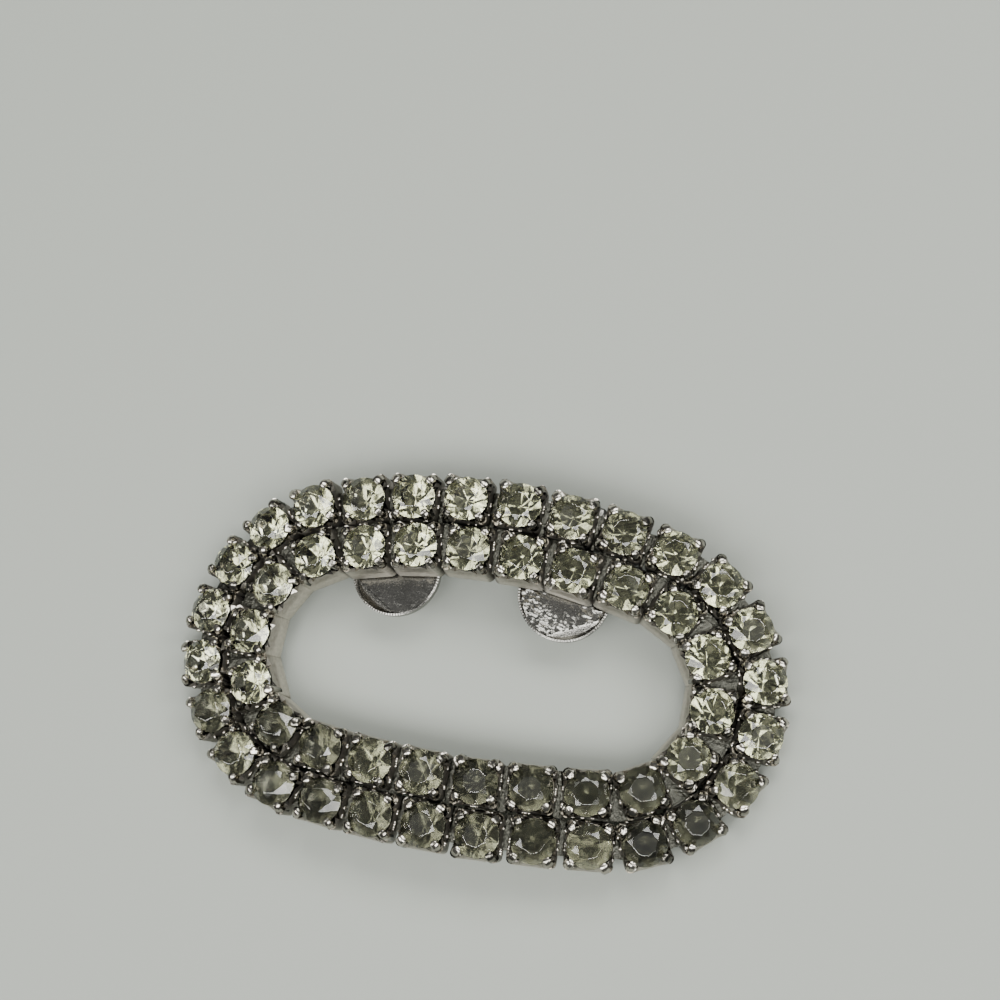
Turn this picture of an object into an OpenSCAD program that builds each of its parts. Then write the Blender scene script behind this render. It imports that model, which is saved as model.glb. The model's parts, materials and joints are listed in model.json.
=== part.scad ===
// Shoe clip: a bowed oval ring of two rows of round stones in square cups, soldered
// together, with a sprung grip lever hinged under one long side.
// The ring is drawn with its length along X and the grip under its +Y side, and then
// tilted as it rests on a flat surface. Millimetres, +Z up.

/* [Rows of stones] */
// Distance from one stone to the next along a row
pitch = 4.6; // [4.5:0.05:4.8]
// Stones in the inner row
inner_count = 22; // [21:1:24]
// How many more stones the outer row has
extra_count = 6; // [6:1:7]
// Where the inner row's first stone lies past the middle of the grip side, in stones
inner_start = -0.45; // [-0.5:0.05:0.5]
// Where the outer row's first stone lies past the middle of the grip side, in stones
outer_start = -0.65; // [-0.7:0.05:0.5]

/* [Outline of the ring] */
// Radius of the inner row round each end
end_r = 8.65; // [8.2:0.05:9.4]
// Half the angle that the grip side's arc turns through, in degrees
far_half = 14.5; // [8:0.5:18]
// Half the angle that the other side's arc turns through, in degrees
near_half = 8; // [6:0.5:14]
// Radius of the bow that lowers both ends of the ring
bow_r = 95; // [90:5:130]

/* [Cups] */
// Width of a square cup
cup_w = 4.2; // [4.1:0.05:4.3]
// Radius of a cup's upright corners
corner_r = 0.5; // [0.3:0.05:0.7]
// Thickness of a cup's floor
floor_t = 0.6; // [0.5:0.05:0.7]
// Height of a cup's walls between the prongs
wall_h = 2.45; // [2.2:0.05:2.5]
// Height of the four prongs
prong_h = 3.45; // [3.4:0.05:3.6]
// Radius of a prong's bent-over tip
claw_r = 0.42; // [0.3:0.02:0.45]

/* [Stones] */
// Width of a stone across its girdle
stone_d = 3.7; // [3.5:0.05:3.75]
// Width of a stone's flat table
table_d = 2.05; // [1.8:0.05:2.3]
// Height of a stone's crown, from girdle to table
crown_h = 0.7; // [0.6:0.05:0.8]
// Depth of a stone's pavilion, below the girdle
pavilion_h = 1.7; // [1.5:0.05:1.8]
// Gap kept between a stone and its cup
seat_gap = 0.1; // [0.1:0.01:0.12]

/* [Grip] */
// How far the whole grip lies past the ring's middle along X
grip_x = -1.2; // [-1.4:0.1:0]
// Length of the plate soldered under the ring
plate_l = 19.6; // [19:0.1:21]
// Thickness of the plate
plate_t = 0.5; // [0.4:0.05:0.6]
// Thickness of the lever's sheet
lever_t = 0.6; // [0.5:0.05:0.7]
// Length of the lever's finger tab
tab_l = 19.4; // [18:0.1:19.6]
// Width across a round grip pad
pad_d = 8.1; // [7.6:0.1:8.2]
// Distance between the middles of the two pads
pad_spacing = 15.3; // [15:0.1:15.6]
// Diameter of the hinge pin
pin_d = 1.1; // [1:0.05:1.2]
// Thickness of the spring's wire
wire_d = 0.35; // [0.3:0.05:0.4]
// Turns of the spring round the pin
spring_turns = 4; // [3:1:5]

/* [Hidden] */
$fn = 48;

// The two rows
rad = PI / 180;
outer_count = inner_count + extra_count;
row_gap = extra_count * pitch / (2 * PI);
end_x = (inner_count * pitch - 2 * PI * end_r)
    / (2 * rad * (far_half / sin(far_half) + near_half / sin(near_half)));
far_r = end_r + end_x / sin(far_half);
near_r = end_r + end_x / sin(near_half);
far_c = [0, -end_x / tan(far_half)];
near_c = [0, end_x / tan(near_half)];
end_turn = 180 - far_half - near_half;
inner_row = row(0, inner_count, inner_start);
outer_row = row(row_gap, outer_count, outer_start);

// Cup and stone
bore_r = stone_d / 2 + seat_gap;
post_w = 0.95;
claw_z = prong_h - 0.5;
claw_at = (bore_r + seat_gap) / sqrt(2);
stone_z = wall_h + 0.08;
girdle_t = 0.12;
facets = 8;

// Solder between the cups, inside the height of their floors
link_w = 1.3;
link_h = floor_t - 0.2;
link_z = 0.1;

// Middles of the two rows and edges of the ring, on the grip side at x = 0
far_y = far_c[1] + far_r;
outer_edge_y = far_y + row_gap + cup_w / 2;

// Plate, ears and pin
pad_at = [pad_spacing / 2, far_y - 2.4];
plate_y = [pad_at[1] + pad_d / 2 + 0.3, outer_edge_y - 0.9];
plate_bite = 0.25;
ear_t = 0.6;
ear_r = 1.2;
ear_x = plate_l / 2 - ear_t;
pin_y = plate_y[0] + ear_r + 0.1;
pin_z = -2.15;
pin_gap = 0.05;
fixed_gap = 0.02;
head_d = 1.9;
head_t = 0.35;

// Lever: the run of its sheet across the clip, from the pads to the tab's tip
pad_gap = 0.2;
pad_t = 0.8;
dish_d = pad_d - 1;
dish_h = 0.35;
lug_t = 0.6;
lug_r = 1.05;
lug_x = ear_x - 0.4 - lug_t;
neck_l = 2 * (ear_x - 0.2);
neck_z = pin_z - lug_r - 0.2 - lever_t / 2;
arm_x = [4.2, neck_l / 2];
arm_z = -1.1;
tab_y = pin_y + 1.8;
tab_drop = 1;
lever_run = [
    [pad_at[1], arm_z],
    [pin_y - 2.3, arm_z],
    [pin_y - 1.2, neck_z],
    [pin_y + 1.1, neck_z],
    [outer_edge_y, neck_z - tab_drop]
];
bridge_y = pin_y - 1.75;

// Spring
coil_r = pin_d / 2 + 0.1 + wire_d / 2;
coil_w = (spring_turns + 0.5) * wire_d * 1.2;
wire_sides = 8;
turn_steps = 16;
plate_leg = [pin_y + 2.2, -plate_t - wire_d];
tab_leg = [pin_y + 2.2, neck_z + 0.35];

// How the clip rests: on the ends of the ring and on the lower edge of the tab's tip
lever_outline = strip(lever_run, lever_t);
tip_top = lever_outline[len(lever_run) - 1];
tip_low = lever_outline[len(lever_run)];
low_corners = [for (p = outer_row, dx = [-1, 1], dy = [-1, 1]) cup_corner(p, dx, dy, 0)];
top_corners = [for (p = outer_row, dx = [-1, 1], dy = [-1, 1]) cup_corner(p, dx, dy, prong_h)];
rest_tilt = atan(min([
    for (c = low_corners) if (c[1] < 0) (c[2] - tip_low[1]) / (tip_low[0] - c[1])
]));
rest_lift = -(tip_low[0] * sin(rest_tilt) + tip_low[1] * cos(rest_tilt));
outermost = concat(low_corners, top_corners, [[0, tip_top[0], tip_top[1]]]);
all_x = [for (c = outermost) c[0]];
all_y = [for (c = outermost) c[1] * cos(rest_tilt) - c[2] * sin(rest_tilt)];
mid = [(min(all_x) + max(all_x)) / 2, (min(all_y) + max(all_y)) / 2];

// Length of an arc, and the angle that a length along an arc turns through
function arc_len(r, a) = r * a * rad;
function swept(r, len) = len / (r * rad);

// A point on an arc with its heading, both measured clockwise from +Y
function on_arc(c, r, a) = [c[0] + r * sin(a), c[1] + r * cos(a), a];

// Length all round a row that lies off outside the inner one
function row_len(off) = 2 * arc_len(far_r + off, far_half) + 2 * arc_len(end_r + off, end_turn)
    + arc_len(near_r + off, 2 * near_half);

// The place at a distance s along such a row, clockwise from the middle of the grip side
function row_place(off, s) =
    let (a = arc_len(far_r + off, far_half),
         b = a + arc_len(end_r + off, end_turn),
         c = b + arc_len(near_r + off, 2 * near_half),
         d = c + arc_len(end_r + off, end_turn))
    s < a ? on_arc(far_c, far_r + off, swept(far_r + off, s)) :
    s < b ? on_arc([end_x, 0], end_r + off, far_half + swept(end_r + off, s - a)) :
    s < c ? on_arc(near_c, near_r + off, 180 - near_half + swept(near_r + off, s - b)) :
    s < d ? on_arc([-end_x, 0], end_r + off, 180 + near_half + swept(end_r + off, s - c)) :
            on_arc(far_c, far_r + off, 360 - far_half + swept(far_r + off, s - d));

// The places of all the stones of a row, at equal steps
function row(off, count, start) = [
    for (i = [0 : count - 1])
        let (s = (i + start) / count) row_place(off, (s < 0 ? s + 1 : s) * row_len(off))
];

// A point of the flat drawing carried onto the bow: x runs along it, z stands off it
function bowed(x, y, z) =
    let (a = swept(bow_r, x)) [(bow_r + z) * sin(a), y, (bow_r + z) * cos(a) - bow_r];

// A corner of the cup at place p
function cup_corner(p, dx, dy, z) =
    let (x = dx * cup_w / 2, y = dy * cup_w / 2)
    bowed(p[0] + x * cos(p[2]) + y * sin(p[2]), p[1] - x * sin(p[2]) + y * cos(p[2]), z);

// Offset of a strip's edge from point i of its middle line, for a strip 2 wide
function edge(line, i) =
    let (n = len(line) - 1,
         a = line[min(i, n - 1) + 1] - line[min(i, n - 1)],
         b = line[max(i, 1)] - line[max(i, 1) - 1],
         across = [-(a / norm(a) + b / norm(b))[1], (a / norm(a) + b / norm(b))[0]])
    across / (across * [-a[1], a[0]] / norm(a));

// Outline of a strip of thickness t that follows a line
function strip(line, t) = concat(
    [for (i = [0 : len(line) - 1]) line[i] + edge(line, i) * t / 2],
    [for (i = [len(line) - 1 : -1 : 0]) line[i] - edge(line, i) * t / 2]
);

// Tilts the drawing as the clip rests, with its lowest points at z = 0
module at_rest() {
    translate([-mid[0], -mid[1], rest_lift]) rotate([rest_tilt, 0, 0]) children();
}

// Places a child on the bow at a place of a row, turned to the row's heading
module on_ring(p) {
    a = swept(bow_r, p[0]);
    translate([bow_r * sin(a), p[1], bow_r * cos(a) - bow_r])
        rotate([0, a, 0]) rotate([0, 0, -p[2]]) children();
}

// Extrudes a drawing of the YZ plane along X, from x1 to x2
module along_x(x1, x2) {
    translate([x1, 0, 0]) rotate([90, 0, 90]) linear_extrude(x2 - x1) children();
}

module cup_outline() {
    square([cup_w, cup_w - 2 * corner_r], center = true);
    square([cup_w - 2 * corner_r, cup_w], center = true);
    for (dx = [-1, 1], dy = [-1, 1])
        translate([dx, dy] * (cup_w / 2 - corner_r)) circle(corner_r);
}

// One square cup: a floor, walls round the stone's seat and four prongs
module cup() {
    linear_extrude(floor_t) cup_outline();
    linear_extrude(wall_h) difference() {
        cup_outline();
        circle(bore_r);
    }
    linear_extrude(prong_h) intersection() {
        difference() {
            cup_outline();
            circle(bore_r);
        }
        for (dx = [-1, 1], dy = [-1, 1])
            translate([dx, dy] * (cup_w - post_w) / 2) square(post_w, center = true);
    }
    translate([0, 0, claw_z]) linear_extrude(prong_h - claw_z)
        for (dx = [-1, 1], dy = [-1, 1]) translate([dx, dy] * claw_at) circle(claw_r);
}

// A bar of solder from one cup's floor to the next along a row
module row_link(p, q) {
    m = (p + q) / 2;
    d = q - p;
    on_ring([m[0], m[1], atan2(-d[1], d[0])])
        translate([-link_w / 2, -link_w / 2, link_z]) cube([link_w, link_w, link_h]);
}

// A bar of solder from an outer cup's floor inwards to the inner row
module cross_link(p) {
    on_ring(p) translate([-link_w / 3, -row_gap, link_z])
        cube([link_w * 2 / 3, row_gap, link_h * 0.9]);
}

module row_links(places) {
    for (i = [0 : len(places) - 1]) row_link(places[i], places[(i + 1) % len(places)]);
}

// Places a child of the grip along X
module on_grip() {
    translate([grip_x, 0, 0]) children();
}

// The plate under the grip side, bent to the bow, with an ear at each end for the pin
module grip_base() {
    near_end = swept(bow_r, plate_l / 2 - abs(grip_x));
    translate([0, plate_y[1], -bow_r]) rotate([90, 0, 0])
        linear_extrude(plate_y[1] - plate_y[0]) intersection() {
            difference() {
                circle(bow_r + plate_bite, $fn = 360);
                circle(bow_r - plate_t, $fn = 360);
            }
            translate([grip_x - plate_l / 2, 0]) square([plate_l, bow_r * 2]);
        }
    on_grip() for (side = [0, 1]) mirror([side, 0, 0]) difference() {
        along_x(ear_x, ear_x + ear_t) {
            translate([pin_y, pin_z]) circle(ear_r);
            translate([pin_y - ear_r, pin_z])
                square([2 * ear_r, -pin_z - plate_t - bow_r * (1 - cos(near_end)) + plate_bite]);
        }
        along_x(ear_x - 1, ear_x + 1)
            translate([pin_y, pin_z]) circle(pin_d / 2 + fixed_gap);
    }
}

// Every cup of both rows, soldered together and to the plate
module setting_ring() {
    color("lightslategray") at_rest() union() {
        for (p = concat(inner_row, outer_row)) on_ring(p) cup();
        row_links(inner_row);
        row_links(outer_row);
        for (p = outer_row) cross_link(p);
        grip_base();
    }
}

// One cut stone: a table, a crown of eight main and sixteen small facets, a girdle
// and a pavilion of sixteen facets
module stone() {
    rim = 2 * facets;
    function ring_of(n, r, z, turn) = [for (i = [0 : n - 1])
        [r * cos((i + turn) * 360 / n), r * sin((i + turn) * 360 / n), z]];
    points = concat(
        ring_of(facets, table_d / 2, stone_z + girdle_t + crown_h, 0),
        ring_of(rim, stone_d / 2, stone_z + girdle_t, 0),
        ring_of(rim, stone_d / 2, stone_z, 0),
        [[0, 0, stone_z - pavilion_h]]
    );
    top = facets;
    low = facets + rim;
    faces = concat(
        [[for (i = [facets - 1 : -1 : 0]) i]],
        [for (i = [0 : facets - 1]) [i, (i + 1) % facets, top + (2 * i + 1) % rim]],
        [for (i = [0 : facets - 1]) [i, top + (2 * i + 1) % rim, top + 2 * i]],
        [for (i = [0 : facets - 1])
            [(i + 1) % facets, top + (2 * i + 2) % rim, top + (2 * i + 1) % rim]],
        [for (i = [0 : rim - 1]) [top + i, top + (i + 1) % rim, low + (i + 1) % rim, low + i]],
        [for (i = [0 : rim - 1]) [low + i, low + (i + 1) % rim, low + rim]]
    );
    polyhedron(points, faces);
}

module outer_stones() {
    color("lightyellow") at_rest() for (p = outer_row) on_ring(p) stone();
}

module inner_stones() {
    color("ivory") at_rest() for (p = inner_row) on_ring(p) stone();
}

// Outline of the lever from above: two arms, a neck between the ears and the tab
module lever_plan() {
    for (side = [0, 1]) mirror([side, 0])
        translate([arm_x[0], pad_at[1]])
            square([arm_x[1] - arm_x[0], bridge_y - pad_at[1] + 0.5]);
    translate([-neck_l / 2, bridge_y]) square([neck_l, tab_y - bridge_y + 0.5]);
    translate([-tab_l / 2, tab_y]) square([tab_l, outer_edge_y - tab_y + 1]);
}

// Places a child at the middle of both grip pads, square to the bow
module at_pads() {
    for (side = [-1, 1]) on_ring([grip_x + side * pad_at[0], pad_at[1], 0]) children();
}

// The lever: a bent sheet with two lugs on the pin and two dished round pads
module grip_lever() {
    depth = -neck_z + tab_drop + 1;
    color("dimgray") at_rest() difference() {
        union() {
            on_grip() {
                intersection() {
                    along_x(-tab_l / 2, tab_l / 2) polygon(lever_outline);
                    translate([0, 0, -depth]) linear_extrude(depth) lever_plan();
                }
                for (side = [0, 1]) mirror([side, 0, 0]) along_x(lug_x, lug_x + lug_t) {
                    translate([pin_y, pin_z]) circle(lug_r);
                    translate([pin_y - lug_r, neck_z]) square([2 * lug_r, pin_z - neck_z]);
                }
            }
            at_pads() translate([0, 0, -pad_gap - pad_t]) cylinder(h = pad_t, d = pad_d);
        }
        at_pads() translate([0, 0, -pad_gap - dish_h]) cylinder(h = 1, d = dish_d);
        on_grip() along_x(-tab_l, tab_l) translate([pin_y, pin_z]) circle(pin_d / 2 + pin_gap);
    }
}

module hinge_pin() {
    reach = plate_l / 2 + 0.1;
    color("silver") at_rest() on_grip() {
        along_x(-reach, reach) translate([pin_y, pin_z]) circle(d = pin_d);
        for (side = [0, 1]) mirror([side, 0, 0])
            along_x(reach - 0.05, reach + head_t) translate([pin_y, pin_z]) circle(d = head_d);
    }
}

// The spring: whole turns and a half round the pin, with a leg to the plate and one to
// the tab. Each point of its path is [x, y, z, angle of the wire's way in the YZ plane].
module grip_spring() {
    steps = round((spring_turns + 0.5) * turn_steps);
    function leg_angle(a, b) = atan2(b[1] - a[1], b[0] - a[0]);
    coil_top = [pin_y, pin_z + coil_r];
    coil_low = [pin_y, pin_z - coil_r];
    in_angle = leg_angle(plate_leg, coil_top) + 360;
    out_angle = leg_angle(coil_low, tab_leg) + 360 * (spring_turns + 1);
    path = concat(
        [[-coil_w / 2, plate_leg[0], plate_leg[1], in_angle % 360]],
        [for (i = [0 : steps])
            let (a = 90 + i * 360 / turn_steps)
            [coil_w * (i / steps - 0.5), pin_y + coil_r * cos(a), pin_z + coil_r * sin(a), a + 90]],
        [[coil_w / 2, tab_leg[0], tab_leg[1], out_angle]]
    );
    points = [for (p = path, j = [0 : wire_sides - 1])
        let (s = j * 360 / wire_sides, c = wire_d / 2 * cos(s))
        [p[0] + wire_d / 2 * sin(s), p[1] - c * sin(p[3]), p[2] + c * cos(p[3])]];
    last = (len(path) - 1) * wire_sides;
    faces = concat(
        [[for (j = [0 : wire_sides - 1]) j]],
        [for (i = [0 : len(path) - 2], j = [0 : wire_sides - 1])
            let (k = (j + 1) % wire_sides, m = i * wire_sides, n = m + wire_sides)
            [m + j, n + j, n + k, m + k]],
        [[for (j = [wire_sides - 1 : -1 : 0]) last + j]]
    );
    color("darkgray") at_rest() on_grip() polyhedron(points, faces);
}

setting_ring();
outer_stones();
inner_stones();
grip_lever();
hinge_pin();
grip_spring();
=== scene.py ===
# %% [markdown]
# A sprung shoe clip: a bowed oval of two rows of round foiled stones in square cups,
# with a hinged grip under one long side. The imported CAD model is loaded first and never
# moves. It says where each cup, pad and pin lies, and Blender only adds the forms and
# finishes that the eye sees.

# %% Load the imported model
import json
import math
import random

import bmesh
import bpy
from mathutils import Matrix, Vector, noise
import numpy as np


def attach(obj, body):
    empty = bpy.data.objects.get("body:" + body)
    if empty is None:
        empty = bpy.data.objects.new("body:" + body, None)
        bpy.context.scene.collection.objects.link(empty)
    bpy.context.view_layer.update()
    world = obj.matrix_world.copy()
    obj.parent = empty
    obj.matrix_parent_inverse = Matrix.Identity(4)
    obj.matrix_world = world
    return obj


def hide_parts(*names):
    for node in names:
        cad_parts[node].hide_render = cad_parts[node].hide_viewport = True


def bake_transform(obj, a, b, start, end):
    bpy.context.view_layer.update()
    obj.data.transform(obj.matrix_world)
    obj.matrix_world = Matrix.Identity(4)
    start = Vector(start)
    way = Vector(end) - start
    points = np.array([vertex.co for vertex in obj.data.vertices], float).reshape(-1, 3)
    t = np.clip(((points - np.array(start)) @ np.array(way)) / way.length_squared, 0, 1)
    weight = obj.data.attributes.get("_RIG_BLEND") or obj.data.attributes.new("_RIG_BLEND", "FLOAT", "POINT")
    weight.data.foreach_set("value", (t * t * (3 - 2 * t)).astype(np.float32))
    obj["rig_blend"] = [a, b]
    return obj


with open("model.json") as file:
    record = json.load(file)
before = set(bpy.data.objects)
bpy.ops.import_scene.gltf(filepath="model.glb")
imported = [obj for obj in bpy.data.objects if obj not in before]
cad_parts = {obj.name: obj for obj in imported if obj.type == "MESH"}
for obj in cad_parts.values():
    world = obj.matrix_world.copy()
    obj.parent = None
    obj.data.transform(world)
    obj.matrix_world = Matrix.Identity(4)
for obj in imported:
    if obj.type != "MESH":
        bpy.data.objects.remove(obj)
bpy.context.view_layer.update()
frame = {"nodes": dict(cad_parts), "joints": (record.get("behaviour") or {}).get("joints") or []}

MM = 0.001
print("nodes", sorted(frame["nodes"]))

# %% [markdown]
# Every shape is made at the origin, and a chain of matrices carries it to its place. The
# one on the right works first. Three short names keep such chains readable.

# %% Matrices
def moved(x, y, z):
    return Matrix.Translation((x, y, z))


def turned(angle, axis):
    return Matrix.Rotation(angle, 4, axis)


def sized(x, y, z):
    return Matrix.Diagonal((x, y, z, 1))


print("+X after a quarter turn about Z", turned(math.pi / 2, "Z") @ Vector((1, 0, 0)))

# %% [markdown]
# The clip is drawn flat in millimetres, with the same named sizes as in the CAD source,
# so a cup made here falls on its solid there. The real size comes from the stones, of a
# standard size of nearly 4 mm. The oval is four arcs: a wide one for each long side and
# a tight one for each end. The outer row has six more stones at the same step.

# %% Sizes of the oval
PITCH = 4.6
INNER_COUNT = 22
EXTRA_COUNT = 6
END_R = 8.65
# half of the turn that each long side takes, in degrees
FAR_HALF = 14.5
NEAR_HALF = 8

far_turn = math.radians(FAR_HALF)
near_turn = math.radians(NEAR_HALF)
long_share = far_turn / math.sin(far_turn) + near_turn / math.sin(near_turn)
end_x = (INNER_COUNT * PITCH - 2 * math.pi * END_R) / (2 * long_share)
far_c = (0, -end_x / math.tan(far_turn))
near_c = (0, end_x / math.tan(near_turn))
# for each arc: its centre, its radius, and its first and last heading
ARCS = (
    (far_c, END_R + end_x / math.sin(far_turn), 0, FAR_HALF),
    ((end_x, 0), END_R, FAR_HALF, 180 - NEAR_HALF),
    (near_c, END_R + end_x / math.sin(near_turn), 180 - NEAR_HALF, 180 + NEAR_HALF),
    ((-end_x, 0), END_R, 180 + NEAR_HALF, 360 - FAR_HALF),
    (far_c, END_R + end_x / math.sin(far_turn), 360 - FAR_HALF, 360),
)
print("the end arcs' centres lie", round(end_x, 2), "mm from the middle")

# %% [markdown]
# A place on a row is found by walking along the arcs. The ring is bowed, because a
# shoe's upper is round, so a second function lays a flat place on a large cylinder.
# That is simpler than to draw each cup where it ends up.

# %% Places along the two rows
# where each row's first stone lies, in steps
INNER_START = -0.45
OUTER_START = -0.65
BOW_R = 95
row_gap = EXTRA_COUNT * PITCH / (2 * math.pi)


def row_place(off, share):
    """The place (x, y, heading) at a share of the way round a row, off outside the inner one."""
    lengths = [(radius + off) * math.radians(stop - start) for _, radius, start, stop in ARCS]
    left = (share % 1) * sum(lengths)
    for (centre, radius, start, stop), length in zip(ARCS, lengths):
        if left <= length:
            heading = start + (stop - start) * left / length
            turn = math.radians(heading)
            r = radius + off
            return (centre[0] + r * math.sin(turn), centre[1] + r * math.cos(turn), heading)
        left -= length
    return row_place(off, 0)


def on_ring(place):
    """Carries a piece from the origin to a place of the flat drawing, laid on the bow."""
    x, y, heading = place
    swing = x / BOW_R
    move = moved(BOW_R * math.sin(swing), y, BOW_R * math.cos(swing) - BOW_R)
    return move @ turned(swing, "Y") @ turned(-math.radians(heading), "Z")


def row(off, count, start):
    return [row_place(off, (i + start) / count) for i in range(count)]


inner_row = row(0, INNER_COUNT, INNER_START)
outer_row = row(row_gap, INNER_COUNT + EXTRA_COUNT, OUTER_START)
print("rows", len(inner_row), len(outer_row), "gap between them", round(row_gap, 3))

# %% [markdown]
# The whole drawing tilts by nearly four degrees, because the clip rests on the tip of
# its lever. The hinge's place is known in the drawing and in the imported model, and the
# two give the shift that goes with the tilt.

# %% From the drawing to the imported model
GRIP_X = -1.2
PIN_Y = 13.38
PIN_Z = -2.15
REST_TILT = math.radians(3.71322)

rest_turn = turned(REST_TILT, "X")
pivot = Vector(frame["joints"][0]["pos_m"])
shift = pivot - (rest_turn @ Vector((GRIP_X, PIN_Y, PIN_Z))) * MM
TO_ROW = Matrix.Translation(shift) @ rest_turn @ Matrix.Scale(MM, 4)
print("shift in mm", [round(v / MM, 3) for v in shift])

# %% [markdown]
# A material is a small tree of nodes. One helper turns a web colour into the linear one
# that shaders want, one adds a node with its settings and links, and one starts a
# material with a node that measures in millimetres. So a pattern's Scale is 1 over the
# size of its spots. In a Mix node for colours, sockets 6 and 7 are the two colours and
# output 2 is the result.

# %% Helpers for colours and nodes
def linear(colour):
    """The linear colour of an sRGB hex one."""
    parts = [int(colour[i:i + 2], 16) / 255 for i in (1, 3, 5)]
    parts = [p / 12.92 if p <= 0.04045 else ((p + 0.055) / 1.055) ** 2.4 for p in parts]
    return (*parts, 1.0)


def add_node(material, kind, settings=(), links=()):
    """Adds a node. Settings and links pair the name of an attribute or socket with its value."""
    node = material.node_tree.nodes.new(kind)
    for name, value in dict(settings).items():
        if isinstance(name, str) and hasattr(node, name):
            setattr(node, name, value)
        else:
            node.inputs[name].default_value = value
    for name, socket in dict(links).items():
        material.node_tree.links.new(socket, node.inputs[name])
    return node


def new_material(name):
    """A material with an empty node tree, and its places in millimetres."""
    material = bpy.data.materials.new(name)
    material.use_nodes = True
    material.node_tree.nodes.clear()
    place = add_node(material, "ShaderNodeTexCoord").outputs["Object"]
    scale = {"Scale": (1 / MM, 1 / MM, 1 / MM)}
    in_mm = add_node(material, "ShaderNodeMapping", scale, {"Vector": place})
    return material, in_mm.outputs["Vector"]


print("white is", linear("#ffffff"))

# %% [markdown]
# The cups and prongs are cast brass plated with rhodium: a hard, cool white metal that
# shines where fingers rub it and stays dark where polish never reaches. One number on each
# point darkens the plating: painted shade in the gaps between the cups, on their rims and at
# the prongs' feet, over a little grime. Without it the plating would be one grey, and the
# gaps would look as lit as the prongs.

# %% Rhodium plated cast brass
plated_brass, mm_place = new_material("rhodium_plated_cast_brass")
# patches of tarnish 1.4 mm across make no two prongs the same grey
tarnish = add_node(
    plated_brass, "ShaderNodeTexNoise", {"Scale": 1 / 1.43, "Detail": 4.0}, {"Vector": mm_place},
)
# casting grain of 0.25 mm breaks each glint's edge
grain = add_node(
    plated_brass, "ShaderNodeTexNoise", {"Scale": 1 / 0.25, "Detail": 3.0}, {"Vector": mm_place},
)
grime = add_node(plated_brass, "ShaderNodeAttribute", {"attribute_name": "grime"})
patchy = add_node(
    plated_brass, "ShaderNodeMapRange",
    {"From Min": 0.42, "From Max": 0.68, "To Min": 0.0, "To Max": 0.45},
    {"Value": tarnish.outputs["Fac"]},
)
darkening = add_node(
    plated_brass, "ShaderNodeMath", {"operation": "ADD", "use_clamp": True},
    {0: grime.outputs["Fac"], 1: patchy.outputs["Result"]},
)
# the clean plating darkens by the painted shade of the gaps, grime and tarnish
colour = add_node(
    plated_brass, "ShaderNodeMix",
    {"data_type": "RGBA", 6: linear("#dcd6c9"), 7: linear("#31312b")},
    {0: darkening.outputs["Value"]},
)
worn = add_node(
    plated_brass, "ShaderNodeMapRange",
    {"From Min": 0.3, "From Max": 0.7, "To Min": 0.05, "To Max": 0.16},
    {"Value": grain.outputs["Fac"]},
)
bumps = add_node(
    plated_brass, "ShaderNodeBump", {"Strength": 0.5, "Distance": 0.05 * MM},
    {"Height": grain.outputs["Fac"]},
)
surface = add_node(
    plated_brass, "ShaderNodeBsdfPrincipled", {"Metallic": 1.0},
    {"Base Color": colour.outputs[2], "Roughness": worn.outputs["Result"],
     "Normal": bumps.outputs["Normal"]},
)
add_node(plated_brass, "ShaderNodeOutputMaterial", (), {"Surface": surface.outputs[0]})
print("material", plated_brass.name)

# %% [markdown]
# The walls of the cups were plated just as they came from the mould, for no brush gets
# between them. That skin is matt, so it takes light from all round and looks pale where
# nothing darkens it. It shares the painted shade of the gaps and the grime, and has its own
# coarser roughness.

# %% The same brass, as cast
cast_skin, mm_place = new_material("plated_brass_as_cast")
# a sand-like skin of 0.3 mm leaves soft mottling and no clear reflection
skin = add_node(
    cast_skin, "ShaderNodeTexNoise", {"Scale": 1 / 0.303, "Detail": 3.0}, {"Vector": mm_place},
)
grime = add_node(cast_skin, "ShaderNodeAttribute", {"attribute_name": "grime"})
darkening = add_node(
    cast_skin, "ShaderNodeMath", {"operation": "MULTIPLY_ADD", "use_clamp": True, 1: 0.4},
    {0: skin.outputs["Fac"], 2: grime.outputs["Fac"]},
)
# the pale skin darkens by its mottling, the painted shade of the gaps and grime
colour = add_node(
    cast_skin, "ShaderNodeMix",
    {"data_type": "RGBA", 6: linear("#e1dbcd"), 7: linear("#3a3934")},
    {0: darkening.outputs["Value"]},
)
bumps = add_node(
    cast_skin, "ShaderNodeBump", {"Strength": 0.5, "Distance": 0.1 * MM},
    {"Height": skin.outputs["Fac"]},
)
surface = add_node(
    cast_skin, "ShaderNodeBsdfPrincipled", {"Metallic": 1.0, "Roughness": 0.5},
    {"Base Color": colour.outputs[2], "Normal": bumps.outputs["Normal"]},
)
add_node(cast_skin, "ShaderNodeOutputMaterial", (), {"Surface": surface.outputs[0]})
print("material", cast_skin.name)

# %% [markdown]
# Solder runs when it is hot and freezes with small ripples. Nobody can polish it between
# the cups, so it has turned dark, and only the ripples that face a lamp glint. They
# need a far deeper bump than the other metals.

# %% Silver solder, oxidised
solder_metal, mm_place = new_material("oxidised_silver_solder")
# ripples of 0.3 mm, as the solder froze, each with its own small glint
ripples = add_node(
    solder_metal, "ShaderNodeTexNoise", {"Scale": 1 / 0.2857, "Detail": 2.0}, {"Vector": mm_place},
)
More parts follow.
